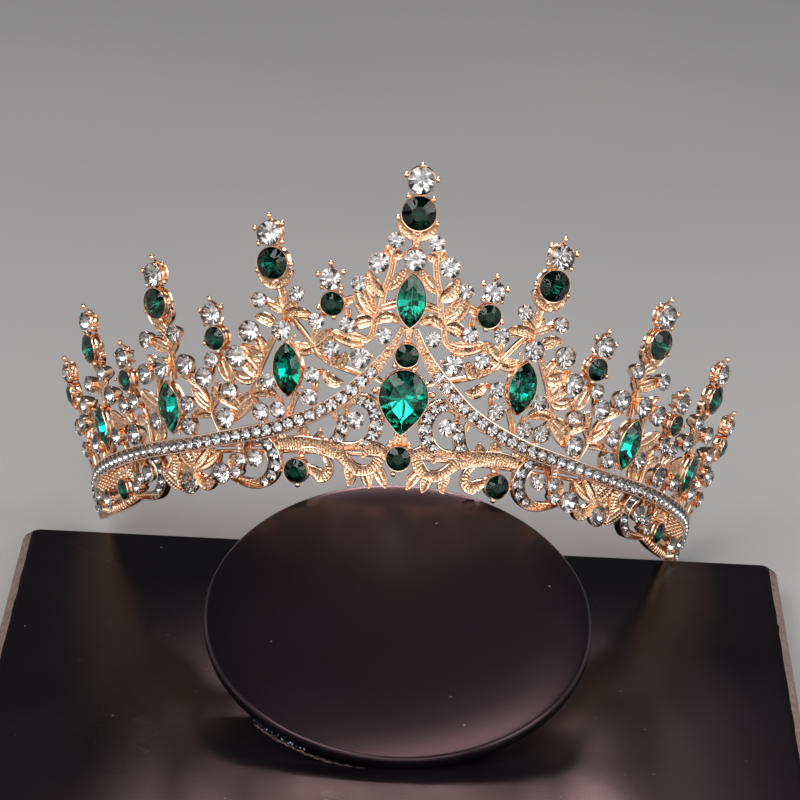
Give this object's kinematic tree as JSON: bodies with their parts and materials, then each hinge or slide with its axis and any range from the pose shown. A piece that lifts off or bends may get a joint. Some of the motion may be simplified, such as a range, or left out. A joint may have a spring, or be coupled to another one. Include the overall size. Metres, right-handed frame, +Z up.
{
  "type": "baroque tiara with display stand",
  "caption": "Pierced baroque tiara in rose gold plate with green and clear cut stones, resting on a sloping round pad on a flat board.",
  "frame": {"origin": "centre of the underside of the stand's board", "axes": "+Z up, the tiara's front faces -Y, +X to the viewer's right"},
  "size_m": [0.19, 0.2023, 0.1217],
  "materials": {
    "rose_gold_plate": "polished rose gold plate on cast alloy, fine grained in the recesses",
    "green_crystal": "foil backed cut glass",
    "clear_crystal": "foil backed cut glass",
    "leatherette": "dark grained leatherette on board"
  },
  "bodies": {
    "root": {"band_stones_left": "clear_crystal", "band_stones_right": "clear_crystal", "bottom_green_stone": "green_crystal", "centre_marquise": "green_crystal", "collar_clear_stone": "clear_crystal", "end_tip_clear_left": "clear_crystal", "end_tip_clear_right": "clear_crystal", "end_tip_green_left": "green_crystal", "end_tip_green_right": "green_crystal", "first_marquise_left": "green_crystal", "first_marquise_right": "green_crystal", "first_small_green_left": "green_crystal", "first_small_green_right": "green_crystal", "first_tip_clear_left": "clear_crystal", "first_tip_clear_right": "clear_crystal", "first_tip_green_left": "green_crystal", "first_tip_green_right": "green_crystal", "gold_frame": "rose_gold_plate", "inner_low_green_left": "green_crystal", "inner_low_green_right": "green_crystal", "middle_green_stone": "green_crystal", "outer_low_green_left": "green_crystal", "outer_low_green_right": "green_crystal", "pear_stone": "green_crystal", "second_marquise_left": "green_crystal", "second_marquise_right": "green_crystal", "second_small_green_left": "green_crystal", "second_small_green_right": "green_crystal", "second_tip_clear_left": "clear_crystal", "second_tip_clear_right": "clear_crystal", "second_tip_green_left": "green_crystal", "second_tip_green_right": "green_crystal", "stand_board": "leatherette", "stand_pad": "leatherette", "stand_wedge": "leatherette", "third_marquise_left": "green_crystal", "third_marquise_right": "green_crystal", "third_small_green_left": "green_crystal", "third_small_green_right": "green_crystal", "third_tip_clear_left": "clear_crystal", "third_tip_clear_right": "clear_crystal", "third_tip_green_left": "green_crystal", "third_tip_green_right": "green_crystal", "top_clear_stone": "clear_crystal", "top_green_stone": "green_crystal", "vine_stones_left": "clear_crystal", "vine_stones_right": "clear_crystal"}
  },
  "joints": []
}
